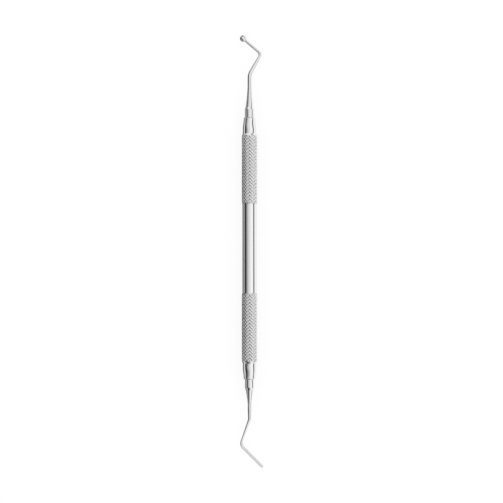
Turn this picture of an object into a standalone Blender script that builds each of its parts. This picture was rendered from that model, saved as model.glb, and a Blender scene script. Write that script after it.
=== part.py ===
"""Ball burnisher: a double-ended hand instrument of polished steel, in metres.

A turned handle with two knurled grips holds an insert pressed into each end. One insert ends in a ball,
the other in a narrow flat blade. Each insert is a turned blank that is pressed flat where it is a blade
and then bent.

The instrument lies on its side along Y, with both bent ends level, the way it rests on a table. The
origin is on the underside of the handle's smooth band, midway along it. +Y points to the ball and +Z
points up.
"""

import math

import bmesh
import bpy
from mathutils import Matrix, Vector

MM = 0.001

# Handle
BAND_DIAMETER = 6.0 * MM
BAND_LENGTH = 36.0 * MM
SHOULDER_DIAMETER = 5.64 * MM
SHOULDER_LENGTH = 1.7 * MM
SHOULDER_CHAMFER = 0.7 * MM
NOSE_DIAMETER = 4.8 * MM
NOSE_LENGTH = 4.5 * MM
NOSE_POWER = 1.6
NOSE_ROUNDING = 0.3 * MM

# Diamond knurl: crests stand above the band, and pairs of grooves cross below it
KNURL_LENGTH = 28.0 * MM
KNURL_PITCH = 1.4 * MM
KNURL_COUNT = 16
KNURL_RISE = 0.18 * MM
KNURL_DEPTH = 0.33 * MM

# Tangs in their bores
TANG_DIAMETER = 2.5 * MM
TANG_LENGTH = 8.0 * MM
TANG_CHAMFER = 0.3 * MM
TANG_CLEARANCE = 0.3 * MM
SEAM_GAP = 0.3 * MM
DRILL_POINT_ANGLE = math.radians(118.0)

# Collars, alike on both inserts: a short cylinder and the cone that ends it
COLLAR_DIAMETER = 3.8 * MM
COLLAR_LENGTH = 3.1 * MM
COLLAR_CONE_LENGTH = 1.1 * MM

# Ball end: legs run from collar to bend, from bend to bend, and from bend to the ball's centre
BALL_DIAMETER = 2.6 * MM
BALL_FLARE_DIAMETER = 3.1 * MM
BALL_FLARE_LENGTH = 9.0 * MM
BALL_FLARE_POWER = 1.6
BALL_SHANK_DIAMETER = 1.62 * MM
BALL_ELBOW_DIAMETER = 1.25 * MM
BALL_NECK_DIAMETER = 1.02 * MM
BALL_LEGS = (17.3 * MM, 9.6 * MM, 9.6 * MM)
BALL_BENDS = (math.radians(29.0), math.radians(-78.5))
BALL_BEND_RADII = (5.0 * MM, 1.6 * MM)

# Blade end: legs run from collar to bend, from bend to bend, and from bend to the blade's tip
BLADE_FLARE_DIAMETER = 3.05 * MM
BLADE_FLARE_LENGTH = 5.2 * MM
BLADE_FLARE_POWER = 1.1
BLADE_SHANK_DIAMETER = 1.54 * MM
BLADE_TAPER_LENGTH = 13.0 * MM
BLADE_TAPER_POWER = 1.6
BLADE_WAIST_DIAMETER = 0.82 * MM
BLADE_WIDTH = 1.15 * MM
BLADE_THICKNESS = 0.45 * MM
BLADE_EDGE_ROUNDING = 0.12 * MM
BLADE_LEGS = (16.0 * MM, 11.0 * MM, 13.0 * MM)
BLADE_BENDS = (math.radians(20.0), math.radians(-65.0))
BLADE_BEND_RADII = (4.0 * MM, 2.7 * MM)

# Mesh fineness: sides round a turned piece, and rings along it
INSERT_SIDES = 20
RING_SPACING = 0.55 * MM
CURVE_STEPS = 4
BALL_STEPS = 10
WELD_DISTANCE = 0.001 * MM
SHARP_ANGLE = math.radians(25.0)

# What follows from the sizes above
BAND_RADIUS = BAND_DIAMETER / 2
HANDLE_SIDES = 2 * KNURL_COUNT
HALF_STEP = math.pi / HANDLE_SIDES
AXIS_HEIGHT = BAND_RADIUS * math.cos(HALF_STEP)
KNURL_START = BAND_LENGTH / 2
KNURL_END = KNURL_START + KNURL_LENGTH
KNURL_ROWS = 2 * round(KNURL_LENGTH / KNURL_PITCH)
CREST_RADIUS = BAND_RADIUS + KNURL_RISE
GROOVE_RADIUS = CREST_RADIUS - KNURL_DEPTH
SHOULDER_START = KNURL_END + SHOULDER_CHAMFER
NOSE_START = SHOULDER_START + SHOULDER_LENGTH
ROUNDING_START = NOSE_START + NOSE_LENGTH
HANDLE_END = ROUNDING_START + NOSE_ROUNDING
BORE_RADIUS = TANG_DIAMETER / 2 + TANG_CLEARANCE
BORE_BOTTOM = HANDLE_END + SEAM_GAP - TANG_LENGTH - TANG_CLEARANCE
BORE_POINT = BORE_BOTTOM - BORE_RADIUS / math.tan(DRILL_POINT_ANGLE / 2)


def clear_scene():
    for old in list(bpy.data.objects):
        bpy.data.objects.remove(old, do_unlink=True)


def new_collection(name):
    collection = bpy.data.collections.new(name)
    bpy.context.scene.collection.children.link(collection)
    return collection


def steel(name, value, roughness):
    """Steel with one grey value, brighter for a polished face and darker for a ground one."""
    material = bpy.data.materials.new(name)
    material.use_nodes = True
    shader = material.node_tree.nodes["Principled BSDF"]
    shader.inputs["Base Color"].default_value = (value, value, value, 1.0)
    shader.inputs["Metallic"].default_value = 1.0
    shader.inputs["Roughness"].default_value = roughness
    return material


def turned(name, profile, sides, collection):
    """Turn a profile of (radius, height) pairs, listed from the top down, about Z into a closed mesh."""
    mesh = bpy.data.meshes.new(name)
    points = [(radius, 0.0, height) for radius, height in profile]
    mesh.from_pydata(points, [(i, i + 1) for i in range(len(points) - 1)], [])
    piece = bpy.data.objects.new(name, mesh)
    collection.objects.link(piece)
    screw = piece.modifiers.new("turning", "SCREW")
    screw.axis = "Z"
    screw.angle = math.tau
    screw.steps = sides
    screw.render_steps = sides
    screw.use_merge_vertices = True
    screw.merge_threshold = WELD_DISTANCE
    bpy.context.view_layer.update()
    evaluated = piece.evaluated_get(bpy.context.evaluated_depsgraph_get())
    piece.data = bpy.data.meshes.new_from_object(evaluated)
    piece.modifiers.clear()
    bpy.data.meshes.remove(mesh)
    piece.data.name = name
    return piece


def finish(piece, material):
    piece.data.materials.clear()
    piece.data.materials.append(material)
    piece.data.shade_smooth()
    piece.data.set_sharp_from_angle(angle=SHARP_ANGLE)


def rounding(radius_in, radius_out, height_low, height_high):
    """A quarter round, from its inner end on the high face down to its outer end on the side."""
    points = []
    for step in range(CURVE_STEPS + 1):
        turn = math.pi / 2 * step / CURVE_STEPS
        radius = radius_in + (radius_out - radius_in) * math.sin(turn)
        height = height_low + (height_high - height_low) * math.cos(turn)
        points.append((radius, height))
    return points


def stretch(start, length, diameter, end_diameter, power):
    """Rings from one diameter to another: the change falls off as a power of the distance left."""
    points = []
    steps = max(1, math.ceil(length / RING_SPACING))
    for step in range(1, steps + 1):
        left = 1 - step / steps
        here = end_diameter + (diameter - end_diameter) * left ** power
        points.append((here / 2, start + length * step / steps))
    return points


def handle_profile():
    """Upper half of the handle's section from the bore's point outwards, then the same mirrored."""
    half = [(0.0, BORE_POINT), (BORE_RADIUS, BORE_BOTTOM), (BORE_RADIUS, HANDLE_END)]
    nose_radius = NOSE_DIAMETER / 2
    half += rounding(nose_radius - NOSE_ROUNDING, nose_radius, ROUNDING_START, HANDLE_END)[:-1]
    half += reversed(stretch(NOSE_START, NOSE_LENGTH, SHOULDER_DIAMETER, NOSE_DIAMETER, NOSE_POWER))
    half += [(SHOULDER_DIAMETER / 2, NOSE_START), (SHOULDER_DIAMETER / 2, SHOULDER_START)]
    for row in range(KNURL_ROWS + 1):
        half.append((BAND_RADIUS, KNURL_END - row * KNURL_LENGTH / KNURL_ROWS))
    return half + [(radius, -height) for radius, height in reversed(half)]


def cut_knurl(mesh):
    """Raise and lower the handle's rings into four-sided pyramids.

    A ring has two points to a crest, and a crest's pitch has two rings. Points whose ring and place in the
    ring add up to an odd number become crests, and the rest are where grooves cross. Each square between
    four points is then split along its groove. The first and last ring of a grip stay round.
    """
    shape = bmesh.new()
    shape.from_mesh(mesh)
    groove_points = set()
    knurl_points = set()
    for point in shape.verts:
        row = round((KNURL_END - abs(point.co.z)) * KNURL_ROWS / KNURL_LENGTH)
        radius = math.hypot(point.co.x, point.co.y)
        if radius < BAND_RADIUS - WELD_DISTANCE:
            continue
        column = round(math.atan2(point.co.y, point.co.x) / (2 * HALF_STEP))
        knurl_points.add(point)
        if (row + column) % 2 == 0:
            groove_points.add(point)
        if 0 < row < KNURL_ROWS:
            wanted = GROOVE_RADIUS if point in groove_points else CREST_RADIUS
            point.co.x *= wanted / radius
            point.co.y *= wanted / radius
    for face in list(shape.faces):
        on_grip = abs(face.calc_center_median().z) > KNURL_START
        if on_grip and knurl_points.issuperset(face.verts):
            ends = [point for point in face.verts if point in groove_points]
            bmesh.utils.face_split(face, ends[0], ends[1])
    shape.to_mesh(mesh)
    shape.free()


def make_handle(collection):
    handle = turned("handle", handle_profile(), HANDLE_SIDES, collection)
    cut_knurl(handle.data)
    handle.location = (0.0, 0.0, AXIS_HEIGHT)
    handle.rotation_euler = (-math.pi / 2, HALF_STEP, 0.0)
    finish(handle, steel("turned steel", 0.75, 0.18))


def root_profile(flare_diameter, flare_length, flare_power, shank_diameter):
    """Tang, collar and flare, from the tang's inner end up. Heights count from that end."""
    tang_radius = TANG_DIAMETER / 2
    collar_radius = COLLAR_DIAMETER / 2
    collar_top = TANG_LENGTH + COLLAR_LENGTH
    flare_start = collar_top + COLLAR_CONE_LENGTH
    points = [(0.0, 0.0), (tang_radius - TANG_CHAMFER, 0.0), (tang_radius, TANG_CHAMFER)]
    points += [(tang_radius, TANG_LENGTH), (collar_radius, TANG_LENGTH), (collar_radius, collar_top)]
    points.append((flare_diameter / 2, flare_start))
    return points + stretch(flare_start, flare_length, flare_diameter, shank_diameter, flare_power)


def wire_path(legs, bends, radii):
    """Runs of (length, curvature): legs, measured from corner to corner, and the arcs that join them."""
    setbacks = [radius * math.tan(abs(angle) / 2) for angle, radius in zip(bends, radii)]
    setbacks = [0.0] + setbacks + [0.0]
    runs = []
    for index, leg in enumerate(legs):
        runs.append((leg - setbacks[index] - setbacks[index + 1], 0.0))
        if index < len(bends):
            curvature = math.copysign(1 / radii[index], bends[index])
            runs.append((radii[index] * abs(bends[index]), curvature))
    return runs


def place_on(runs, distance):
    """Centre and heading of the wire at a distance along it. The wire sets out along +Y from the origin."""
    x, y, heading = 0.0, 0.0, 0.0
    for index, (length, curvature) in enumerate(runs):
        step = distance if index == len(runs) - 1 else min(distance, length)
        if curvature:
            turned_to = heading + curvature * step
            x += (math.cos(heading) - math.cos(turned_to)) / curvature
            y += (math.sin(turned_to) - math.sin(heading)) / curvature
            heading = turned_to
        else:
            x += step * math.sin(heading)
            y += step * math.cos(heading)
        distance -= step
        if distance <= 0:
            break
    return x, y, heading


def bend(mesh, runs):
    """Carry a blank that was turned about Z along a path in the XY plane."""
    for point in mesh.vertices:
        across, depth, distance = point.co
        x, y, heading = place_on(runs, distance)
        point.co = (x + across * math.cos(heading), y - across * math.sin(heading), -depth)


def seat(piece, turn):
    """Put an insert's collar one seam gap from the handle's end, at +Y or turned round to -Y."""
    start = Vector((0.0, HANDLE_END + SEAM_GAP - TANG_LENGTH, 0.0))
    piece.location = Matrix.Rotation(turn, 3, "Z") @ start + Vector((0.0, 0.0, AXIS_HEIGHT))
    piece.rotation_euler = (0.0, 0.0, turn)


def make_ball_end(collection):
    legs = (TANG_LENGTH + BALL_LEGS[0],) + BALL_LEGS[1:]
    runs = wire_path(legs, BALL_BENDS, BALL_BEND_RADII)
    first_bend = runs[0][0]
    elbow = sum(length for length, curvature in runs[:3]) + runs[3][0] / 2
    centre = sum(length for length, curvature in runs)
    neck_turn = math.asin(BALL_NECK_DIAMETER / BALL_DIAMETER)
    neck = centre - BALL_DIAMETER / 2 * math.cos(neck_turn)

    points = root_profile(BALL_FLARE_DIAMETER, BALL_FLARE_LENGTH, BALL_FLARE_POWER, BALL_SHANK_DIAMETER)
    flare_end = points[-1][1]
    points += stretch(flare_end, first_bend - flare_end, BALL_SHANK_DIAMETER, BALL_SHANK_DIAMETER, 1)
    points += stretch(first_bend, elbow - first_bend, BALL_SHANK_DIAMETER, BALL_ELBOW_DIAMETER, 1)
    points += stretch(elbow, neck - elbow, BALL_ELBOW_DIAMETER, BALL_NECK_DIAMETER, 1)
    for step in range(1, BALL_STEPS):
        turn = neck_turn + (math.pi - neck_turn) * step / BALL_STEPS
        points.append((BALL_DIAMETER / 2 * math.sin(turn), centre - BALL_DIAMETER / 2 * math.cos(turn)))
    points.append((0.0, centre + BALL_DIAMETER / 2))

    insert = turned("ball_end", points[::-1], INSERT_SIDES, collection)
    bend(insert.data, runs)
    seat(insert, 0.0)
    finish(insert, steel("polished steel", 0.8, 0.12))


def pressed_section(across, depth, amount):
    """Move a point of a round section towards a slab with rounded edges, by an amount from 0 to 1."""
    radius = math.hypot(across, depth)
    half_depth = min(radius, BLADE_THICKNESS / 2)
    edge = min(half_depth, BLADE_EDGE_ROUNDING)
    angle = math.atan2(abs(depth), abs(across))
    eighth = math.pi / 8
    turn = min(max(2 * (angle - eighth), 0.0), math.pi / 2)
    slab_across = (radius - edge) * min(1.0, (math.pi / 2 - angle) / eighth) + edge * math.cos(turn)
    slab_depth = (half_depth - edge) * min(1.0, angle / eighth) + edge * math.sin(turn)
    slab_across = math.copysign(slab_across, across)
    slab_depth = math.copysign(slab_depth, depth)
    return across + (slab_across - across) * amount, depth + (slab_depth - depth) * amount


def press_blade(mesh, start, end):
    """Press a blank flat: not at all before the start, wholly after the end, and easing in between them."""
    for point in mesh.vertices:
        share = min(max((point.co.z - start) / (end - start), 0.0), 1.0)
        amount = share * share * (3 - 2 * share)
        if amount:
            point.co.x, point.co.y = pressed_section(point.co.x, point.co.y, amount)


def make_blade_end(collection):
    legs = (TANG_LENGTH + BLADE_LEGS[0],) + BLADE_LEGS[1:]
    runs = wire_path(legs, BLADE_BENDS, BLADE_BEND_RADII)
    elbow_start = sum(length for length, curvature in runs[:3])
    elbow_end = elbow_start + runs[3][0]
    tip = sum(length for length, curvature in runs)
    tip_start = tip - BLADE_WIDTH / 2
    taper_start = elbow_start - BLADE_TAPER_LENGTH

    points = root_profile(BLADE_FLARE_DIAMETER, BLADE_FLARE_LENGTH, BLADE_FLARE_POWER, BLADE_SHANK_DIAMETER)
    flare_end = points[-1][1]
    points += stretch(flare_end, taper_start - flare_end, BLADE_SHANK_DIAMETER, BLADE_SHANK_DIAMETER, 1)
    points += stretch(taper_start, BLADE_TAPER_LENGTH, BLADE_SHANK_DIAMETER, BLADE_WAIST_DIAMETER,
                      BLADE_TAPER_POWER)
    points += stretch(elbow_start, elbow_end - elbow_start, BLADE_WAIST_DIAMETER, BLADE_WIDTH, 1)
    points += stretch(elbow_end, tip_start - elbow_end, BLADE_WIDTH, BLADE_WIDTH, 1)
    points += reversed(rounding(0.0, BLADE_WIDTH / 2, tip_start, tip)[:-1])

    insert = turned("blade_end", points[::-1], INSERT_SIDES, collection)
    press_blade(insert.data, elbow_start, elbow_end)
    bend(insert.data, runs)
    seat(insert, math.pi)
    finish(insert, steel("polished steel blade", 0.8, 0.12))


def main():
    clear_scene()
    collection = new_collection("ball_burnisher")
    make_handle(collection)
    make_ball_end(collection)
    make_blade_end(collection)


main()
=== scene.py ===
"""Ball burnisher: the visible surfaces of a double-ended hand instrument of polished steel, and its studio.

Everything is in metres. The instrument lies along Y on a pale floor, its ball towards +Y, and +Z points up.
"""

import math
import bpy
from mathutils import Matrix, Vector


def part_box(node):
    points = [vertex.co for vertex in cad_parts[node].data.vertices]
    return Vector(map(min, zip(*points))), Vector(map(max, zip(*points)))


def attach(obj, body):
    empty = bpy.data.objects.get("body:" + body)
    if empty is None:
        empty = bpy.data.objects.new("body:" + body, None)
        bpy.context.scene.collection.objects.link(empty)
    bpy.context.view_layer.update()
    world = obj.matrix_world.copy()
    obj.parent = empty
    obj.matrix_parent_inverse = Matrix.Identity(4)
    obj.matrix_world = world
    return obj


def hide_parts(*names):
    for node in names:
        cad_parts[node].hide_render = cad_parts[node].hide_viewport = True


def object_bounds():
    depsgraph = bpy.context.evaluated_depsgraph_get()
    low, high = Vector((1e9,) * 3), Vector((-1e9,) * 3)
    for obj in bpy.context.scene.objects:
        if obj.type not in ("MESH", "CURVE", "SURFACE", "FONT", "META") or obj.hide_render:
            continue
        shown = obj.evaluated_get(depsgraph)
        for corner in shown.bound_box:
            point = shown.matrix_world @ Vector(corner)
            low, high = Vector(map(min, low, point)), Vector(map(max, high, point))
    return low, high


bl_info = {
    "name": "Ball Burnisher",
    "version": (1, 0, 0),
    "blender": (4, 5, 0),
    "location": "3D View > Sidebar > Burnisher",
    "description": "Builds a double-ended ball burnisher of polished steel in a plain studio",
    "category": "Add Mesh",
}

import bpy
import numpy as np
from bpy.props import FloatProperty, FloatVectorProperty, IntProperty, PointerProperty

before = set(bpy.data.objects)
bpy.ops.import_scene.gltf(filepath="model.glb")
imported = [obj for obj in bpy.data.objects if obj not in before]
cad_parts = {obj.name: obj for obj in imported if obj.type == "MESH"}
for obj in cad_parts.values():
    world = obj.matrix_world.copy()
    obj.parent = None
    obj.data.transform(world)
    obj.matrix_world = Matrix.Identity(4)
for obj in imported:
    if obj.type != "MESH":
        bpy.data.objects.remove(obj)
CAD_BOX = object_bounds()
HANDLE_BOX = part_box("handle")

MM = 0.001
# Edges that turn by more than this stay sharp
SHARP_ANGLE = math.radians(26.0)
# Gap between the handle's end face and a collar in the solids
SEAM_GAP = 0.3 * MM
# Parts into which each row and column of the knurl is cut
FINER = 3
# Lengths that differ by less count as equal
AS_NEAR = 0.0001 * MM
# Half the angle of the drill that made the bore's point
DRILL_HALF_ANGLE = math.radians(59.0)
# Chamfer on the tang's inner end
TANG_CHAMFER = 0.3 * MM
# Points round an insert, and the step from one of its rings to the next
INSERT_SIDES = 56
INSERT_STEP = 0.22 * MM
# Of two rings nearer to each other than this, one is left out
LEAST_STEP = 0.004 * MM
# Room that a form's last ring leaves before the next form's first
CLEAR_STEP = 0.05 * MM


# Sizes and colours

def length(name, description, millimetres):
    """A length that can't be negative, given in millimetres and kept in metres."""
    return FloatProperty(name=name, description=description, default=millimetres * MM, min=0.0,
                         subtype="DISTANCE", unit="LENGTH", precision=5)


def position(name, description, millimetres):
    """A place on an axis, given in millimetres and kept in metres."""
    return FloatProperty(name=name, description=description, default=millimetres * MM,
                         subtype="DISTANCE", unit="LENGTH", precision=5)


def share(name, description, default):
    """A number from 0 to 1."""
    return FloatProperty(name=name, description=description, default=default, min=0.0, max=1.0,
                         subtype="FACTOR")


def turn(name, description, degrees):
    """An angle, given in degrees and kept in radians."""
    return FloatProperty(name=name, description=description, default=math.radians(degrees),
                         subtype="ANGLE", unit="ROTATION")


def colour(name, description, grey):
    """A colour whose default is a grey."""
    return FloatVectorProperty(name=name, description=description, default=(grey, grey, grey), min=0.0,
                               max=1.0, size=3, subtype="COLOR")


class HandleSizes(bpy.types.PropertyGroup):
    band_diameter: length("Band diameter", "Across the smooth middle band", 6.0)
    band_length: length("Band length", "Length of the smooth middle band", 36.0)
    # In the solids the band has 32 faces, and the middle of its lowest one is the origin
    axis_height: length("Axis height", "Height of the handle's axis above the underside of its band",
                        3.0 * math.cos(math.pi / 32))
    grip_length: length("Grip length", "Length of each knurled grip", 28.2)
    crest_pitch: length("Crest pitch", "Distance between knurl crests along the handle", 1.4046)
    crest_count: IntProperty(name="Crests round", description="Knurl crests round the handle", default=16)
    crest_turn: turn("Crest turn", "Angle of a line of crests from straight up towards +X", 7.5)
    crossing: length("Crossing", "From the handle's middle to a crossing of grooves on that line", 32.27)
    groove_radius: length("Groove radius", "From the axis to the bottom of a knurl groove", 3.0)
    # Painted shade: up to this height over a groove's bottom the knurl takes a darker colour, standing in for
    # the shade in the groove
    groove_shade: length("Groove shade", "How far up from a groove's bottom its darker steel reaches", 0.05)
    crest_flat: share("Crest flat", "Where on a full pyramid's height its flat top is cut", 2 / 3)
    grip_land: length("Grip land", "Plain stretch at each end of a grip, before the knurl rises", 0.15)
    grip_fade: share("Grip fade", "Rows over which the knurl rises at a grip's ends", 0.9)
    shoulder_diameter: length("Shoulder diameter", "Across the plain shoulder beyond a grip", 5.54)
    shoulder_length: length("Shoulder length", "Length of the plain shoulder", 1.7)
    shoulder_chamfer: length("Shoulder chamfer", "Length of the chamfer between grip and shoulder", 0.5)
    nose_diameter: length("Nose diameter", "Across the small end of the nose", 4.74)
    nose_length: length("Nose length", "Length of the tapered nose", 4.5)
    nose_rounding: length("Nose rounding", "Rounding of the nose's rim", 0.3)
    bore_diameter: length("Bore diameter", "Across the blind bore for an insert", 3.1)
    bore_depth: length("Bore depth", "Depth of the bore's straight wall", 8.0)
    edge: length("Eased edge", "How far from a corner its easing starts", 0.06)


class RootSizes(bpy.types.PropertyGroup):
    tang_diameter: length("Tang diameter", "Across the tang inside the bore", 2.5)
    tang_length: length("Tang length", "From the tang's inner end to the collar", 8.0)
    seam: length("Seam", "Hairline between the handle's end face and a collar", 0.03)
    collar_diameter: length("Collar diameter", "Across the collar", 3.8)
    collar_length: length("Collar length", "Length of the collar's straight part", 3.1)
    collar_cone: length("Collar cone", "Length of the cone that ends the collar", 1.1)
    edge: length("Eased edge", "How far from a corner its easing starts", 0.1)


class BallSizes(bpy.types.PropertyGroup):
    ball_diameter: length("Ball diameter", "Across the ball", 2.6)
    flare_diameter: length("Flare diameter", "Across the flare where it leaves the collar", 3.1)
    flare_length: length("Flare length", "Length of the flare", 9.0)
    shank_diameter: length("Shank diameter", "Across the straight shank", 1.62)
    elbow_diameter: length("Elbow diameter", "Across the wire at its second bend", 1.25)
    neck_diameter: length("Neck diameter", "Across the wire where it meets the ball", 1.02)
    neck_fillet: length("Neck fillet", "Reach of the fillet between wire and ball", 0.16)
    first_leg: length("First leg", "From the collar to the first bend's corner", 17.3)
    second_leg: length("Second leg", "From corner to corner", 9.6)
    third_leg: length("Third leg", "From the second corner to the ball's centre", 9.58)
    first_bend: turn("First bend", "Turn at the first bend", 29.0)
    second_bend: turn("Second bend", "Turn at the second bend", -78.5)
    first_radius: length("First bend radius", "Radius of the first bend", 5.0)
    second_radius: length("Second bend radius", "Radius of the second bend", 1.6)


class BladeSizes(bpy.types.PropertyGroup):
    flare_diameter: length("Flare diameter", "Across the flare where it leaves the collar", 3.05)
    flare_length: length("Flare length", "Length of the flare", 5.2)
    shank_diameter: length("Shank diameter", "Across the straight shank", 1.54)
    taper_length: length("Taper length", "Length over which the shank thins to its waist", 13.0)
    waist_diameter: length("Waist diameter", "Across the waist before the blade", 0.82)
    blade_width: length("Blade width", "Width of the flat blade", 1.15)
    blade_thickness: length("Blade thickness", "Thickness of the flat blade", 0.45)
    edge_rounding: length("Blade edge rounding", "Rounding of the blade's long edges", 0.12)
    first_leg: length("First leg", "From the collar to the first bend's corner", 16.0)
    second_leg: length("Second leg", "From corner to corner", 11.0)
    third_leg: length("Third leg", "From the second corner to the blade's tip", 13.0)
    first_bend: turn("First bend", "Turn at the first bend", 20.0)
    second_bend: turn("Second bend", "Turn at the second bend", -65.0)
    first_radius: length("First bend radius", "Radius of the first bend", 4.0)
    second_radius: length("Second bend radius", "Radius of the second bend", 2.7)


class SteelFinish(bpy.types.PropertyGroup):
    handle_colour: colour("Handle steel", "Polished band, shoulders and noses of the handle", 0.86)
    crest_colour: colour("Crest steel", "Crests of the knurl", 0.88)
    # Painted shade: the darker colour of the knurl grooves' bottoms stands in for the shade that falls in
    # them
    painted_shade_colour: colour("Groove steel", "Bottoms of the knurl grooves", 0.42)
    insert_colour: colour("Insert steel", "Steel of both inserts", 0.86)
    polish: share("Polish roughness", "Roughness of the smoothest steel", 0.05)
    haze: share("Haze roughness", "Roughness of the most handled steel", 0.11)
    satin: share("Grip roughness", "Roughness of the knurl's rolled faces", 0.276)
    worn_satin: share("Worn grip roughness", "Roughness of the knurl where it is handled most", 0.3)


class StudioLook(bpy.types.PropertyGroup):
    view_width: length("View width", "Width that the camera frames at the instrument's height", 204.7)
    view_x: position("View centre X", "Camera's place across the instrument", 0.765)
    view_y: position("View centre Y", "Camera's place along the instrument", -1.22)
    lens: FloatProperty(name="Lens", description="Focal length in millimetres", default=200.0)
    floor_colour: colour("Floor", "Colour of the floor", 0.85)
    floor_glow: share("Floor glow", "White that the camera and the steel see on the floor", 0.82)
    shadow_share: share("Shadow share", "Part of the floor's own light that the camera sees", 0.22)
    tent_radius: length("Tent radius", "Radius of the light tent that the steel reflects", 1175.0)


# Surfaces

def tapered(start, distance, diameter, end_diameter, power, count):
    """Points (place, radius) after a start: the change left to make falls as a power of the way left."""
    way = np.arange(1, count + 1) / count
    radius = (end_diameter + (diameter - end_diameter) * (1 - way) ** power) / 2
    return np.column_stack([start + distance * way, radius])


def ogee(start, distance, diameter, end_diameter, count):
    """Points (place, radius) after a start, where a smooth step takes the one diameter to the other."""
    way = np.arange(1, count + 1) / count
    radius = (diameter + (end_diameter - diameter) * way * way * (3 - 2 * way)) / 2
    return np.column_stack([start + distance * way, radius])


def eased(profile, reach):
    """Round every inner corner of a profile.

    A corner gives way to three points. Two lie on its sides, the reach away or three tenths of the side where
    that is shorter. The third is the mean of the corner and their midpoint.
    """
    corner = profile[1:-1]
    back = profile[:-2] - corner
    ahead = profile[2:] - corner
    back_length = np.linalg.norm(back, axis=1, keepdims=True)
    ahead_length = np.linalg.norm(ahead, axis=1, keepdims=True)
    before = corner + back / back_length * np.minimum(reach, 0.3 * back_length)
    after = corner + ahead / ahead_length * np.minimum(reach, 0.3 * ahead_length)
    middle = (before + 2 * corner + after) / 4
    rounded = np.stack([before, middle, after], axis=1).reshape(-1, 2)
    return np.vstack([profile[:1], rounded, profile[-1:]])


def refined(profile, spacing):
    """Add points to a profile at even steps of its own length, and keep the ones that it has."""
    steps = np.linalg.norm(np.diff(profile, axis=0), axis=1)
    places = np.concatenate([[0.0], np.cumsum(steps)])
    wanted = np.union1d(places, np.arange(0.0, places[-1], spacing))
    wanted = wanted[np.concatenate([[True], np.diff(wanted) > LEAST_STEP])]
    return np.column_stack([np.interp(wanted, places, values) for values in profile.T])


def rounded_rim(radius_in, radius_out, low, high, count):
    """Quarter of an ellipse from (high, radius_in) to (low, radius_out): a cosine along and a sine across."""
    angle = np.linspace(0.0, math.pi / 2, count + 1)
    return np.column_stack([low + (high - low) * np.cos(angle),
                            radius_in + (radius_out - radius_in) * np.sin(angle)])


def skin(rings, first_pole, last_pole):
    """Points and triangles of a closed skin over rings of points, with a single point past each end.

    Each square between two rings is split along the diagonal whose ends are nearer in distance from the
    axis, and where both are as near, along the lower one, so that a groove or a facet's edge is never cut
    across. The winding is turned where the skin's signed volume, a sixth of the sum of its triangles' triple
    products, comes out negative.
    """
    count, sides = rings.shape[:2]
    number = 1 + np.arange(count * sides).reshape(count, sides)
    ahead = np.roll(number, -1, axis=1)
    a, b, c, d = number[:-1], ahead[:-1], ahead[1:], number[1:]
    centre = rings.mean(axis=1, keepdims=True)
    radius = np.linalg.norm(rings - centre, axis=2)
    radius_ahead = np.roll(radius, -1, axis=1)
    slope_ac = np.abs(radius[:-1] - radius_ahead[1:])
    slope_bd = np.abs(radius_ahead[:-1] - radius[1:])
    lower_ac = radius[:-1] + radius_ahead[1:] < radius_ahead[:-1] + radius[1:] + AS_NEAR
    by_ac = np.where(np.abs(slope_ac - slope_bd) < AS_NEAR, lower_ac, slope_ac < slope_bd)[..., None]
    first = np.where(by_ac, np.stack([a, b, c], axis=2), np.stack([a, b, d], axis=2))
    second = np.where(by_ac, np.stack([a, c, d], axis=2), np.stack([b, c, d], axis=2))
    last = 1 + count * sides
    start_cap = np.column_stack([np.zeros(sides, int), ahead[0], number[0]])
    end_cap = np.column_stack([np.full(sides, last), number[-1], ahead[-1]])
    triangles = np.vstack([start_cap, first.reshape(-1, 3), second.reshape(-1, 3), end_cap])
    points = np.vstack([[first_pole], rings.reshape(-1, 3), [last_pole]])
    p, q, r = points[triangles[:, 0]], points[triangles[:, 1]], points[triangles[:, 2]]
    if np.sum(p * np.cross(q, r)) < 0:
        triangles = triangles[:, ::-1]
    return points, triangles


def new_object(name, points, faces, material):
    """An object at the origin with these points and faces."""
    mesh = bpy.data.meshes.new(name)
    mesh.from_pydata(points, [], faces)
    mesh.validate()
    mesh.materials.append(material)
    made = bpy.data.objects.new(name, mesh)
    bpy.context.scene.collection.objects.link(made)
    return made


def add_piece(name, points, triangles, material, node):
    """A smooth-shaded piece with sharp edges kept, standing for a node of the frame."""
    piece = new_object(name, points, triangles, material)
    piece.data.shade_smooth()
    piece.data.set_sharp_from_angle(angle=SHARP_ANGLE)
    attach(piece, "root")
    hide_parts(node)
    return piece


def knurl(row, column, flat):
    """Height of a diamond knurl, from 0 in a groove to 1 on a crest's flat top.

    Grooves run where half the sum, or half the difference, of row and column is whole. A pyramid's height is
    twice the distance to the nearer groove, and it is cut off at the share called flat.
    """
    half_sum = (row + column) / 2
    half_difference = (row - column) / 2
    from_groove = np.minimum(np.abs(half_sum - np.round(half_sum)),
                             np.abs(half_difference - np.round(half_difference)))
    return np.minimum(2 * from_groove / flat, 1.0)


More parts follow.
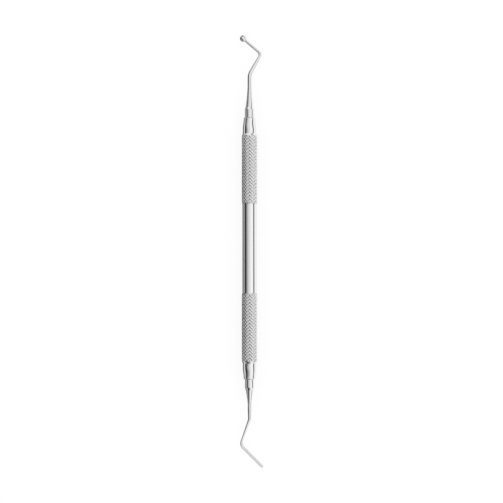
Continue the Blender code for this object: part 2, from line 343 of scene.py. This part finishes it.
def handle_surface(s):
    """The whole handle as radius over place along it and angle round it.

    The radius is a turned profile from the bore's point out over nose, shoulder and grip to the band, and the
    same mirrored. On the grips it goes over to groove radius plus knurl height times groove depth. A row is
    half a crest pitch and a column half a crest's angle. The bore's bottom lies inside a grip, but it is
    narrower than the shoulder and so stays plain.
    """
    grip_start = s.band_length / 2
    grip_end = grip_start + s.grip_length
    shoulder_start = grip_end + s.shoulder_chamfer
    nose_start = shoulder_start + s.shoulder_length
    rim_start = nose_start + s.nose_length
    handle_end = rim_start + s.nose_rounding
    bore_radius = s.bore_diameter / 2
    bore_bottom = handle_end - s.bore_depth
    bore_point = bore_bottom - bore_radius / math.tan(DRILL_HALF_ANGLE)
    nose = ogee(nose_start, s.nose_length, s.shoulder_diameter, s.nose_diameter, count=14)
    nose_radius = s.nose_diameter / 2
    rim = rounded_rim(nose_radius - s.nose_rounding, nose_radius, rim_start, handle_end, count=6)
    outside = np.vstack([
        [[bore_bottom, bore_radius], [handle_end, bore_radius]],
        rim[:-1],
        nose[::-1],
        [[nose_start, s.shoulder_diameter / 2], [shoulder_start, s.shoulder_diameter / 2],
         [grip_end, s.band_diameter / 2], [grip_start, s.band_diameter / 2]],
    ])
    outside = eased(outside, s.edge)[:-2]

    row_length = s.crest_pitch / 2
    outer_step = math.floor((grip_end - s.crossing) / row_length * FINER)
    inner_step = math.floor((grip_start - s.crossing) / row_length * FINER)
    grip_place = s.crossing + np.arange(outer_step, inner_step, -1) / FINER * row_length
    grip_place = np.append(grip_place[grip_place < grip_end - CLEAR_STEP], grip_start)
    band_place = np.linspace(grip_start, 0.0, 20)[1:]
    inner_place = np.concatenate([grip_place, band_place])
    inner = np.column_stack([inner_place, np.full(inner_place.size, s.band_diameter / 2)])
    half = np.vstack([outside, inner])
    place = np.concatenate([half[:, 0], -half[-2::-1, 0]])[:, None]
    plain = np.concatenate([half[:, 1], half[-2::-1, 1]])[:, None]

    columns = 2 * s.crest_count
    column = np.arange(columns * FINER)[None, :] / FINER
    angle = s.crest_turn + column * math.tau / columns
    row = (np.abs(place) - s.crossing) / row_length
    # The lowest crests stand on the lowest level of the solid
    off_bottom = np.min(np.abs(angle - math.pi))
    crest_radius = (s.axis_height - HANDLE_BOX[0].z) / math.cos(off_bottom)
    knurled = s.groove_radius + (crest_radius - s.groove_radius) * knurl(row, column, s.crest_flat)
    from_edge = np.minimum(np.abs(place) - grip_start, grip_end - np.abs(place)) - s.grip_land
    outer = plain > s.shoulder_diameter / 2
    fade = np.clip(from_edge / (s.grip_fade * row_length), 0.0, 1.0) * outer
    radius = plain + fade * (knurled - plain)
    rings = np.stack([radius * np.sin(angle), place + 0 * angle,
                      s.axis_height + radius * np.cos(angle)], axis=2)
    return skin(rings, (0.0, bore_point, s.axis_height), (0.0, -bore_point, s.axis_height))


def runs_of(legs, bends, radii):
    """Runs (length, curvature) of a wire whose legs are measured from corner to corner.

    A bend takes its radius times the tangent of half its turn off each leg beside it.
    """
    setback = [0.0] + [radius * math.tan(abs(bend) / 2) for bend, radius in zip(bends, radii)] + [0.0]
    runs = []
    for index, leg in enumerate(legs):
        runs.append((leg - setback[index] - setback[index + 1], 0.0))
        if index < len(bends):
            runs.append((radii[index] * abs(bends[index]), math.copysign(1 / radii[index], bends[index])))
    return runs


def centre_line(runs, distance):
    """Place and heading at distances along a wire that sets out along +Y.

    A straight run adds its length times the sine and cosine of its heading. An arc adds the change in cosine
    and sine of the heading over its curvature.
    """
    x, y, heading = np.zeros_like(distance), np.zeros_like(distance), np.zeros_like(distance)
    start, before = 0.0, 0.0
    for index, (run, curvature) in enumerate(runs):
        step = np.clip(distance - start, 0.0, run if index < len(runs) - 1 else math.inf)
        after = before + curvature * step
        if curvature:
            x += (math.cos(before) - np.cos(after)) / curvature
            y += (np.sin(after) - math.sin(before)) / curvature
        else:
            x += step * math.sin(before)
            y += step * math.cos(before)
        heading += curvature * step
        start += run
        before += curvature * run
    return x, y, heading


def root_profile(root, flare_diameter):
    """Tang, collar and cone of an insert, from the tang's inner end up to where the flare starts."""
    tang, collar = root.tang_diameter / 2, root.collar_diameter / 2
    collar_start = root.tang_length - SEAM_GAP + root.seam
    collar_end = root.tang_length + root.collar_length
    return np.array([
        [0.0, tang - TANG_CHAMFER], [TANG_CHAMFER, tang], [collar_start, tang], [collar_start, collar],
        [collar_end, collar], [collar_end + root.collar_cone, flare_diameter / 2],
    ])


def carried(profile, runs, root, turned_round, press=None):
    """Skin of a round profile carried along a wire's centre line, at the handle's height.

    A ring's point lies its radius times the cosine of its angle to the side of the centre line, and its
    radius times the sine above it. The last profile point is the pole at the tip.
    """
    angle = np.arange(INSERT_SIDES)[None, :] * math.tau / INSERT_SIDES
    distance, radius = profile[:-1, :1], profile[:-1, 1:]
    across, depth = radius * np.cos(angle), radius * np.sin(angle)
    if press:
        across, depth = press(across, depth, distance)
    x, y, heading = centre_line(runs, profile[:, :1])
    way = -1.0 if turned_round else 1.0
    start = HANDLE_BOX[1].y + SEAM_GAP - root.tang_length
    height = bpy.context.scene.burnisher_handle.axis_height
    side_x, side_y = np.cos(heading[:-1]), -np.sin(heading[:-1])
    rings = np.stack([way * (x[:-1] + across * side_x), way * (start + y[:-1] + across * side_y),
                      height + depth], axis=2)
    first_pole = (0.0, way * start, height)
    last_pole = (way * x[-1, 0], way * (start + y[-1, 0]), height)
    return skin(rings, first_pole, last_pole)


def ball_profile(s, runs, root):
    """Radius along the ball's insert: root, flare, shank and tapering wire, then the ball.

    On the ball it is the root of the ball's radius squared less the distance from its centre squared. The
    wire runs into it through a fillet: the larger of the two radii, rounded by a smooth maximum, which adds
    the fillet's reach times share times one less share.
    """
    first_bend = runs[0][0]
    elbow = sum(run for run, curvature in runs[:3]) + runs[3][0] / 2
    centre = sum(run for run, curvature in runs)
    ball = s.ball_diameter / 2
    flare_start = root.tang_length + root.collar_length + root.collar_cone
    flare_end = flare_start + s.flare_length
    neck_turn = math.asin(s.neck_diameter / s.ball_diameter)
    neck = centre - ball * math.cos(neck_turn)
    wire = np.vstack([
        root_profile(root, s.flare_diameter),
        tapered(flare_start, s.flare_length, s.flare_diameter, s.shank_diameter, power=1.6, count=16),
        tapered(flare_end, first_bend - flare_end, s.shank_diameter, s.shank_diameter, power=1, count=8),
        tapered(first_bend, elbow - first_bend, s.shank_diameter, s.elbow_diameter, power=1, count=24),
        tapered(elbow, neck - elbow, s.elbow_diameter, s.neck_diameter, power=1, count=24),
    ])
    wire = refined(eased(wire[:-1], root.edge), INSERT_STEP)
    fillet_start, fillet_end = 0.86 * neck_turn, 2 * neck_turn
    place = centre - ball * np.cos(np.linspace(fillet_start, fillet_end, 16))
    past = np.clip(place - centre, -ball, ball)
    sphere = np.sqrt(ball ** 2 - past ** 2)
    neck_radius = s.neck_diameter / 2
    blend = np.clip(0.5 + 0.5 * (sphere - neck_radius) / s.neck_fillet, 0.0, 1.0)
    radius = neck_radius + (sphere - neck_radius) * blend + s.neck_fillet * blend * (1 - blend)
    fillet = np.column_stack([place, radius])
    angle = np.linspace(fillet_end, math.pi, 40)[1:]
    cap = np.column_stack([centre - ball * np.cos(angle), ball * np.sin(angle)])
    return np.vstack([wire[wire[:, 0] < place[0] - CLEAR_STEP], fillet, cap])


def blade_profile(s, runs, root):
    """Radius along the blade's insert before it is pressed.

    Root, flare, shank and taper lead to the waist. Round the bend it widens to the blade, and a quarter of an
    ellipse rounds the tip.
    """
    elbow_start = sum(run for run, curvature in runs[:3])
    elbow_end = elbow_start + runs[3][0]
    tip = sum(run for run, curvature in runs)
    tip_start = tip - s.blade_width / 2
    taper_start = elbow_start - s.taper_length
    flare_start = root.tang_length + root.collar_length + root.collar_cone
    flare_end = flare_start + s.flare_length
    shank = np.vstack([
        root_profile(root, s.flare_diameter),
        tapered(flare_start, s.flare_length, s.flare_diameter, s.shank_diameter, power=1.1, count=10),
        tapered(flare_end, taper_start - flare_end, s.shank_diameter, s.shank_diameter, power=1, count=8),
        tapered(taper_start, s.taper_length, s.shank_diameter, s.waist_diameter, power=1.6, count=30),
        tapered(elbow_start, elbow_end - elbow_start, s.waist_diameter, s.blade_width, power=1, count=24),
        tapered(elbow_end, tip_start - elbow_end, s.blade_width, s.blade_width, power=1, count=40),
    ])
    shank = refined(eased(shank, root.edge), INSERT_STEP)
    point = rounded_rim(0.0, s.blade_width / 2, tip_start, tip, count=16)[::-1]
    return np.vstack([shank, point[1:]])


def pressed(s, start, end):
    """How round rings become blade rings: a slab with rounded edges, blended in by a smooth step.

    With growing angle from the wide side a point moves up the slab's edge, then round its corner and last
    along the flat, so that every ring keeps its count of points. Near the tip the corner's rounding is six
    tenths of the half thickness at most.
    """
    def press(across, depth, distance):
        radius = np.hypot(across, depth)
        half_depth = np.minimum(radius, s.blade_thickness / 2)
        edge = np.minimum(0.6 * half_depth, s.edge_rounding)
        angle = np.arctan2(np.abs(depth), np.abs(across))
        eighth = math.pi / 8
        corner = np.clip(2 * (angle - eighth), 0.0, math.pi / 2)
        slab_across = (radius - edge) * np.minimum(1, (math.pi / 2 - angle) / eighth) + edge * np.cos(corner)
        slab_depth = (half_depth - edge) * np.minimum(1, angle / eighth) + edge * np.sin(corner)
        way = np.clip((distance - start) / (end - start), 0.0, 1.0)
        amount = way * way * (3 - 2 * way)
        return (across + (np.copysign(slab_across, across) - across) * amount,
                depth + (np.copysign(slab_depth, depth) - depth) * amount)
    return press


# Finishes

# Patterns of noise, by their scales per metre along X, Y and Z
TURNING_LINES = (60.0, 5200.0, 60.0)
SMEARS = (420.0, 130.0, 420.0)
STROKES = (5200.0, 260.0, 5200.0)
CLOUDS = (520.0, 260.0, 520.0)
# Height of the finest relief
RELIEF = 0.002 * MM
# Share of its brightness that an insert keeps where it is cloudiest
CLOUD_SHADE = 0.94


def add_node(tree, kind, inputs=(), **settings):
    """A node with its settings, and its inputs given as (socket, value or other node's output)."""
    node = tree.nodes.new(kind)
    for name, value in settings.items():
        setattr(node, name, value)
    for socket, value in inputs:
        if isinstance(value, bpy.types.NodeSocket):
            tree.links.new(value, node.inputs[socket])
        else:
            node.inputs[socket].default_value = value
    return node


def math_node(tree, operation, *values):
    """The output of a sum, product or other operation on numbers."""
    return add_node(tree, "ShaderNodeMath", enumerate(values), operation=operation).outputs[0]


def stretched_noise(tree, coordinates, scale, detail):
    """Noise on the piece's own coordinates, drawn out along it or round it by its three scales."""
    mapping = add_node(tree, "ShaderNodeMapping", [("Vector", coordinates), ("Scale", scale)])
    noise = add_node(tree, "ShaderNodeTexNoise", [("Vector", mapping.outputs["Vector"]), ("Scale", 1.0),
                                                  ("Detail", detail), ("Roughness", 0.6)])
    return noise.outputs["Fac"]


def map_range(tree, value, low, high, to_low, to_high, kind="SMOOTHSTEP"):
    """A value's place between low and high, carried over to the place between two others."""
    node = add_node(tree, "ShaderNodeMapRange",
                    [("Value", value), ("From Min", low), ("From Max", high), ("To Min", to_low),
                     ("To Max", to_high)], interpolation_type=kind)
    return node.outputs["Result"]


def mix_colour(tree, factor, first, second):
    """The first colour at factor 0, the second at 1."""
    node = add_node(tree, "ShaderNodeMix", [(0, factor)], data_type="RGBA")
    for index, value in ((6, first), (7, second)):
        if isinstance(value, bpy.types.NodeSocket):
            tree.links.new(value, node.inputs[index])
        else:
            node.inputs[index].default_value = (*value, 1.0)
    return node.outputs[2]


def add_relief(tree, shader, height, strength):
    """Tilt the shader's normal by a pattern of heights."""
    bump = add_node(tree, "ShaderNodeBump",
                    [("Height", height), ("Strength", strength), ("Distance", RELIEF)])
    tree.links.new(bump.outputs["Normal"], shader.inputs["Normal"])


def new_steel(name):
    """A fresh metal material, its tree, shader and object coordinates."""
    material = bpy.data.materials.new(name)
    material.use_nodes = True
    tree = material.node_tree
    shader = tree.nodes["Principled BSDF"]
    shader.inputs["Metallic"].default_value = 1.0
    shader.inputs["IOR"].default_value = 2.5
    coordinates = add_node(tree, "ShaderNodeTexCoord").outputs["Object"]
    return material, tree, shader, coordinates


def handle_steel(finish, sizes):
    """Turned and polished steel.

    Fine rings run round it and a haze lies where it is held. The grips are satin, and painted shade darkens
    the bottoms of their grooves; that colour comes in over the grips' first and last stretch, as the knurl
    does.
    """
    material, tree, shader, coordinates = new_steel("turned polished steel")
    rings = stretched_noise(tree, coordinates, TURNING_LINES, 3.0)
    smears = stretched_noise(tree, coordinates, SMEARS, 2.0)
    along = add_node(tree, "ShaderNodeSeparateXYZ", [("Vector", coordinates)]).outputs["Y"]
    from_middle = math_node(tree, "ABSOLUTE", along)
    grip_start, grip_end = sizes.band_length / 2, sizes.band_length / 2 + sizes.grip_length

    cloud = map_range(tree, smears, 0.35, 0.7, finish.polish, finish.haze)
    lines = map_range(tree, rings, 0.3, 0.75, -0.015, 0.035)
    satin = map_range(tree, smears, 0.35, 0.7, finish.satin, finish.worn_satin)
    on_grip = math_node(tree, "MULTIPLY", math_node(tree, "GREATER_THAN", from_middle, grip_start),
                        math_node(tree, "LESS_THAN", from_middle, grip_end))
    rough = map_range(tree, on_grip, 0.0, 1.0, math_node(tree, "ADD", cloud, lines), satin, "LINEAR")
    tree.links.new(rough, shader.inputs["Roughness"])

    centred = add_node(tree, "ShaderNodeMapping", [("Vector", coordinates), ("Scale", (1.0, 0.0, 1.0)),
                                                   ("Location", (0.0, 0.0, -sizes.axis_height))])
    from_axis = add_node(tree, "ShaderNodeVectorMath", [(0, centred.outputs["Vector"])], operation="LENGTH")
    # Painted shade: below the groove shade height over a groove's bottom the colour goes over to the darker
    # groove colour
    above_painted_shade = map_range(tree, from_axis.outputs["Value"], sizes.groove_radius,
                          sizes.groove_radius + sizes.groove_shade, 0.0, 1.0)
    fade = sizes.grip_fade * sizes.crest_pitch / 2
    knurled = math_node(tree, "MULTIPLY",
                        map_range(tree, from_middle, grip_start, grip_start + fade, 0.0, 1.0),
                        map_range(tree, from_middle, grip_end - fade, grip_end, 1.0, 0.0))
    knurl_with_painted_shade = mix_colour(tree, above_painted_shade, finish.painted_shade_colour, finish.crest_colour)
    tree.links.new(mix_colour(tree, knurled, finish.handle_colour, knurl_with_painted_shade), shader.inputs["Base Color"])
    add_relief(tree, shader, rings, 0.12)
    return material


def insert_steel(finish):
    """Ground and polished steel: soft clouds of haze and faint strokes along it."""
    material, tree, shader, coordinates = new_steel("polished insert steel")
    strokes = stretched_noise(tree, coordinates, STROKES, 3.0)
    clouds = stretched_noise(tree, coordinates, CLOUDS, 2.0)
    cloud = map_range(tree, clouds, 0.35, 0.7, finish.polish, finish.haze)
    lines = map_range(tree, strokes, 0.3, 0.75, -0.01, 0.04)
    tree.links.new(math_node(tree, "ADD", cloud, lines), shader.inputs["Roughness"])
    tone = map_range(tree, clouds, 0.3, 0.75, 0.0, 1.0)
    darker = [CLOUD_SHADE * value for value in finish.insert_colour]
    tree.links.new(mix_colour(tree, tone, finish.insert_colour, darker), shader.inputs["Base Color"])
    add_relief(tree, shader, strokes, 0.1)
    return material


# Studio

# Points round the light tent
TENT_SIDES = 48
# Brightness of the light tent by the place along its slant, and how much a place to the right adds to that
TENT = [
    (-0.90, 0.66), (-0.72, 0.48), (-0.60, 0.27), (-0.35, 0.22), (-0.15, 0.18), (0.06, 0.16), (0.25, 0.36),
    (0.40, 0.52), (0.55, 0.65), (0.70, 0.76), (0.90, 0.84), (1.20, 0.92), (1.60, 0.95), (2.20, 1.04),
]
TENT_SPAN = (-0.9, 2.2)
TENT_SLANT = (0.617, 0.839, 0.857)
TENT_RIGHT = 2.3
# Cards on the tent, later ones over earlier ones. A card is a bar square to its direction, with a middle,
# half width and softness along that and a brightness. Its side gives two places to the right, and how much of
# the card shows below the first and above the second.
CARDS = [
    # White, at the far end
    {"across": (0.0, 1.0, 0.0), "middle": 0.73, "half": 0.13, "soft": 0.05, "level": 1.0,
     "side": (0.45, 0.6, 1.0, 0.0)},
    # Grey, past the white one
    {"across": (0.0, 1.0, 0.0), "middle": 1.04, "half": 0.15, "soft": 0.03, "level": 0.2,
     "side": (0.0, 0.3, 1.0, 0.0)},
    # Black, on the left
    {"across": (0.617, 0.77, 0.857), "middle": -0.285, "half": 0.165, "soft": 0.02, "level": 0.0,
     "side": (0.0, 0.25, 1.0, 0.0)},
    # Dark, on the right
    {"across": (0.301, 0.27, -0.335), "middle": 0.160, "half": 0.076, "soft": 0.04, "level": 0.08,
     "side": (0.2, 0.4, 0.0, 1.0)},
]
# Brightness of the painted shade and light on the floor at the instrument's left, which only the steel
# reflects, by the
# distance from it: beside the band, beside the grips and tips, and beside the noses and collars
STRIP_BAND = [(0.0, 0.60), (0.003, 0.45), (0.006, 0.32), (0.012, 0.30), (0.030, 0.24), (0.100, 0.24)]
STRIP_DARK = [(0.0, 0.45), (0.003, 0.24), (0.006, 0.12), (0.012, 0.09), (0.030, 0.08), (0.100, 0.08)]
STRIP_NOSES = [
    (0.0, 0.60), (0.003, 0.40), (0.0045, 0.08), (0.009, 0.08), (0.014, 0.75), (0.040, 0.85), (0.100, 0.60),
]
STRIP_SPAN = (0.0, 0.1)
# Reach of the strip to both sides of the handle's middle, and its height over the floor
STRIP_REACH = 0.3
STRIP_LIFT = 0.01 * MM
# Length over which one stretch of the strip goes over to the next
STRIP_FADE = 2 * MM
# Reach of the floor to all sides
FLOOR_REACH = 3.0
# Width of the camera's sensor in millimetres
SENSOR_WIDTH = 36.0


def dot_product(tree, vector, direction):
    """How far a vector reaches along a direction."""
    return add_node(tree, "ShaderNodeVectorMath", [(0, vector), (1, direction)],
                    operation="DOT_PRODUCT").outputs["Value"]


def level_ramp(tree, place, stops, span):
    """Brightness at a place, straight between the stops."""
    low, high = span
    share_along = map_range(tree, place, low, high, 0.0, 1.0, "LINEAR")
    ramp = add_node(tree, "ShaderNodeValToRGB", [("Fac", share_along)])
    elements = ramp.color_ramp.elements
    while len(elements) < len(stops):
        elements.new(0.5)
    for element, (stop, level) in zip(elements, stops):
        element.position = (stop - low) / (high - low)
        element.color = (level, level, level, 1.0)
    return ramp.outputs["Color"]


def sees_white(tree):
    """1 for rays from the camera, a mirror or a clear piece, and 0 for light."""
    path = add_node(tree, "ShaderNodeLightPath").outputs
    either = math_node(tree, "MAXIMUM", path["Is Camera Ray"], path["Is Glossy Ray"])
    return math_node(tree, "MAXIMUM", either, path["Is Transmission Ray"])


def bare_material(name):
    """A fresh material and its empty tree."""
    material = bpy.data.materials.new(name)
    material.use_nodes = True
    material.node_tree.nodes.clear()
    return material, material.node_tree


def shine(tree, light):
    """Make a material give off this light and nothing else."""
    glow = add_node(tree, "ShaderNodeEmission", [("Color", light), ("Strength", 1.0)])
    add_node(tree, "ShaderNodeOutputMaterial", [("Surface", glow.outputs[0])])


def white_world():
    """Even soft light from all round, and white where the camera looks past the floor."""
    world = bpy.data.worlds.new("white studio")
    world.use_nodes = True
    background = world.node_tree.nodes["Background"]
    background.inputs["Color"].default_value = (1.0, 1.0, 1.0, 1.0)
    background.inputs["Strength"].default_value = 1.0
    bpy.context.scene.world = world


def tent_material(look):
    """Light of the tent by place on it.

    The place along the slant is the dot product of the slant and the place over the tent's radius, plus its
    share to the right times a factor, and the ramp turns it into brightness. Where another such dot product
    is within a card's half width of its middle, the card's own brightness takes over.
    """
    material, tree = bare_material("light tent")
    coordinates = add_node(tree, "ShaderNodeTexCoord").outputs["Object"]
    shares = add_node(tree, "ShaderNodeVectorMath", [(0, coordinates), ("Scale", 1 / look.tent_radius)],
                      operation="SCALE").outputs["Vector"]
    to_right = add_node(tree, "ShaderNodeSeparateXYZ", [("Vector", shares)]).outputs["X"]
    slant = dot_product(tree, shares, TENT_SLANT)
    place = math_node(tree, "MULTIPLY_ADD", math_node(tree, "MAXIMUM", to_right, 0.0), TENT_RIGHT, slant)
    light = level_ramp(tree, place, TENT, TENT_SPAN)
    for card in CARDS:
        along = dot_product(tree, shares, card["across"])
        off = math_node(tree, "ABSOLUTE", math_node(tree, "SUBTRACT", along, card["middle"]))
        within = map_range(tree, off, card["half"] - card["soft"], card["half"] + card["soft"], 1.0, 0.0)
        shown = math_node(tree, "MULTIPLY", within, map_range(tree, to_right, *card["side"]))
        light = mix_colour(tree, shown, light, (card["level"],) * 3)
    shine(tree, light)
    return material


def light_tent(look):
    """The tent: a ball's surface round the instrument, radius times sine and cosine of two angles."""
    around = np.arange(TENT_SIDES)[None, :] * math.tau / TENT_SIDES
    along = np.linspace(0.0, math.pi, TENT_SIDES // 2 + 1)[1:-1, None]
    radius = look.tent_radius
    rings = np.stack([radius * np.sin(along) * np.cos(around), radius * np.cos(along) + 0 * around,
                      radius * np.sin(along) * np.sin(around)], axis=2)
    points, triangles = skin(rings, (0.0, radius, 0.0), (0.0, -radius, 0.0))
    return stage_piece("light_tent", points, triangles, tent_material(look))


def stage_piece(name, points, faces, material):
    """A piece of the studio, which isn't part of the instrument."""
    piece = new_object(name, points, faces, material)
    return piece


def flat_stage(name, low, high, height, material):
    """A level rectangle of the studio."""
    corners = [(low[0], low[1], height), (high[0], low[1], height), (high[0], high[1], height),
               (low[0], high[1], height)]
    return stage_piece(name, corners, [(0, 1, 2, 3)], material)


def floor_material(look):
    """Pale matt floor.

    The camera and the steel see a share of its own light, which keeps the shadow, and an even glow.
    """
    material, tree = bare_material("pale floor")
    matt = add_node(tree, "ShaderNodeBsdfDiffuse", [("Color", (*look.floor_colour, 1.0))])
    faint_colour = [value * look.shadow_share for value in look.floor_colour]
    faint = add_node(tree, "ShaderNodeBsdfDiffuse", [("Color", (*faint_colour, 1.0))])
    glow = add_node(tree, "ShaderNodeEmission",
                    [("Color", (1.0, 1.0, 1.0, 1.0)), ("Strength", look.floor_glow)])
    seen = add_node(tree, "ShaderNodeAddShader", [(0, faint.outputs[0]), (1, glow.outputs[0])])
    choice = add_node(tree, "ShaderNodeMixShader", [(0, sees_white(tree)), (1, matt.outputs[0]),
                                                    (2, seen.outputs[0])])
    add_node(tree, "ShaderNodeOutputMaterial", [("Surface", choice.outputs[0])])
    return material


def painted_floor_shade_material(grip_start, grip_end, flare_end):
    """Painted shade and light of the floor on the instrument's left, which only the steel sees.

    Brightness goes by the distance out, and each stretch along the instrument has its own ramp for it.
    """
    material, tree = bare_material("shaded strip")
    coordinates = add_node(tree, "ShaderNodeTexCoord").outputs["Object"]
    parts = add_node(tree, "ShaderNodeSeparateXYZ", [("Vector", coordinates)]).outputs
    out = math_node(tree, "MULTIPLY", parts["X"], -1.0)
    from_middle = math_node(tree, "ABSOLUTE", parts["Y"])
    light = level_ramp(tree, out, STRIP_BAND, STRIP_SPAN)
    stretches = ((grip_start + STRIP_FADE, STRIP_DARK), (grip_end, STRIP_NOSES), (flare_end, STRIP_DARK))
    for edge, stops in stretches:
        beyond = map_range(tree, from_middle, edge - STRIP_FADE, edge, 0.0, 1.0)
        light = mix_colour(tree, beyond, light, level_ramp(tree, out, stops, STRIP_SPAN))
    shine(tree, light)
    return material


def add_camera(look):
    """A long lens straight above, so that the view is nearly without perspective."""
    data = bpy.data.cameras.new("camera")
    data.lens = look.lens
    data.sensor_width = SENSOR_WIDTH
    camera = bpy.data.objects.new("camera", data)
    handle = bpy.context.scene.burnisher_handle
    distance = look.view_width * data.lens / data.sensor_width
    camera.location = (look.view_x, look.view_y, handle.axis_height + distance)
    bpy.context.scene.collection.objects.link(camera)
    bpy.context.scene.camera = camera


# Operators

class BURNISHER_OT_add_handle(bpy.types.Operator):
    """Add the turned handle with its knurled grips, noses and bores"""
    bl_idname = "burnisher.add_handle"
    bl_label = "Add Handle"

    def execute(self, context):
        scene = context.scene
        points, triangles = handle_surface(scene.burnisher_handle)
        steel = handle_steel(scene.burnisher_finish, scene.burnisher_handle)
        add_piece("knurled_handle", points, triangles, steel, "handle")
        return {"FINISHED"}


class BURNISHER_OT_add_inserts(bpy.types.Operator):
    """Add the ball's insert and the blade's insert, seated in the handle's ends"""
    bl_idname = "burnisher.add_inserts"
    bl_label = "Add Inserts"

    def execute(self, context):
        scene = context.scene
        root, steel = scene.burnisher_root, insert_steel(scene.burnisher_finish)

        ball = scene.burnisher_ball
        runs = runs_of((root.tang_length + ball.first_leg, ball.second_leg, ball.third_leg),
                       (ball.first_bend, ball.second_bend), (ball.first_radius, ball.second_radius))
        points, triangles = carried(ball_profile(ball, runs, root), runs, root, False)
        add_piece("ball_insert", points, triangles, steel, "ball_end")

        blade = scene.burnisher_blade
        runs = runs_of((root.tang_length + blade.first_leg, blade.second_leg, blade.third_leg),
                       (blade.first_bend, blade.second_bend), (blade.first_radius, blade.second_radius))
        elbow_start = sum(run for run, curvature in runs[:3])
        press = pressed(blade, elbow_start, elbow_start + runs[3][0])
        points, triangles = carried(blade_profile(blade, runs, root), runs, root, True, press)
        add_piece("blade_insert", points, triangles, steel, "blade_end")
        return {"FINISHED"}


class BURNISHER_OT_add_stage(bpy.types.Operator):
    """Add the floor, the light tent and the strip of painted floor shade that the steel reflects, and the
    camera
    """
    bl_idname = "burnisher.add_stage"
    bl_label = "Add Studio"

    def execute(self, context):
        scene = context.scene
        look, handle, root = scene.burnisher_studio, scene.burnisher_handle, scene.burnisher_root
        level = CAD_BOX[0].z
        flat_stage("floor", (-FLOOR_REACH, -FLOOR_REACH), (FLOOR_REACH, FLOOR_REACH), level,
                   floor_material(look))
        grip_start = handle.band_length / 2
        collar_end = HANDLE_BOX[1].y + SEAM_GAP + root.collar_length + root.collar_cone
        flare_end = collar_end + scene.burnisher_ball.flare_length
        shades = painted_floor_shade_material(grip_start, grip_start + handle.grip_length, flare_end)
        # Painted shadow: a sheet just over the floor that only the steel sees, darker near the instrument,
        # standing in for the floor's shade there
        strip = flat_stage("shaded_strip", (-STRIP_SPAN[1], -STRIP_REACH), (STRIP_SPAN[0], STRIP_REACH),
                           level + STRIP_LIFT, shades)
        for reflected in (strip, light_tent(look)):
            reflected.visible_camera = False
            reflected.visible_diffuse = False
            reflected.visible_shadow = False
            reflected.visible_transmission = False
        white_world()
        add_camera(look)
        scene.view_settings.view_transform = "Standard"
        return {"FINISHED"}


class BURNISHER_PT_panel(bpy.types.Panel):
    """Buttons for the pieces and the studio, and their sizes and colours"""
    bl_idname = "BURNISHER_PT_panel"
    bl_label = "Ball Burnisher"
    bl_space_type = "VIEW_3D"
    bl_region_type = "UI"
    bl_category = "Burnisher"

    def draw(self, context):
        for operator in OPERATORS:
            self.layout.operator(operator.bl_idname)
        for name in GROUPS:
            group = getattr(context.scene, name)
            box = self.layout.box()
            for prop in group.__annotations__:
                box.prop(group, prop)


OPERATORS = (BURNISHER_OT_add_handle, BURNISHER_OT_add_inserts, BURNISHER_OT_add_stage)
GROUPS = {
    "burnisher_handle": HandleSizes,
    "burnisher_root": RootSizes,
    "burnisher_ball": BallSizes,
    "burnisher_blade": BladeSizes,
    "burnisher_finish": SteelFinish,
    "burnisher_studio": StudioLook,
}


def register():
    for group in GROUPS.values():
        bpy.utils.register_class(group)
    for name, group in GROUPS.items():
        setattr(bpy.types.Scene, name, PointerProperty(type=group))
    for operator in OPERATORS:
        bpy.utils.register_class(operator)
    bpy.utils.register_class(BURNISHER_PT_panel)


def unregister():
    bpy.utils.unregister_class(BURNISHER_PT_panel)
    for operator in reversed(OPERATORS):
        bpy.utils.unregister_class(operator)
    for name in GROUPS:
        delattr(bpy.types.Scene, name)
    for group in reversed(list(GROUPS.values())):
        bpy.utils.unregister_class(group)


def main():
    register()
    bpy.ops.burnisher.add_handle()
    bpy.ops.burnisher.add_inserts()
    bpy.ops.burnisher.add_stage()


if __name__ == "__main__":
    main()
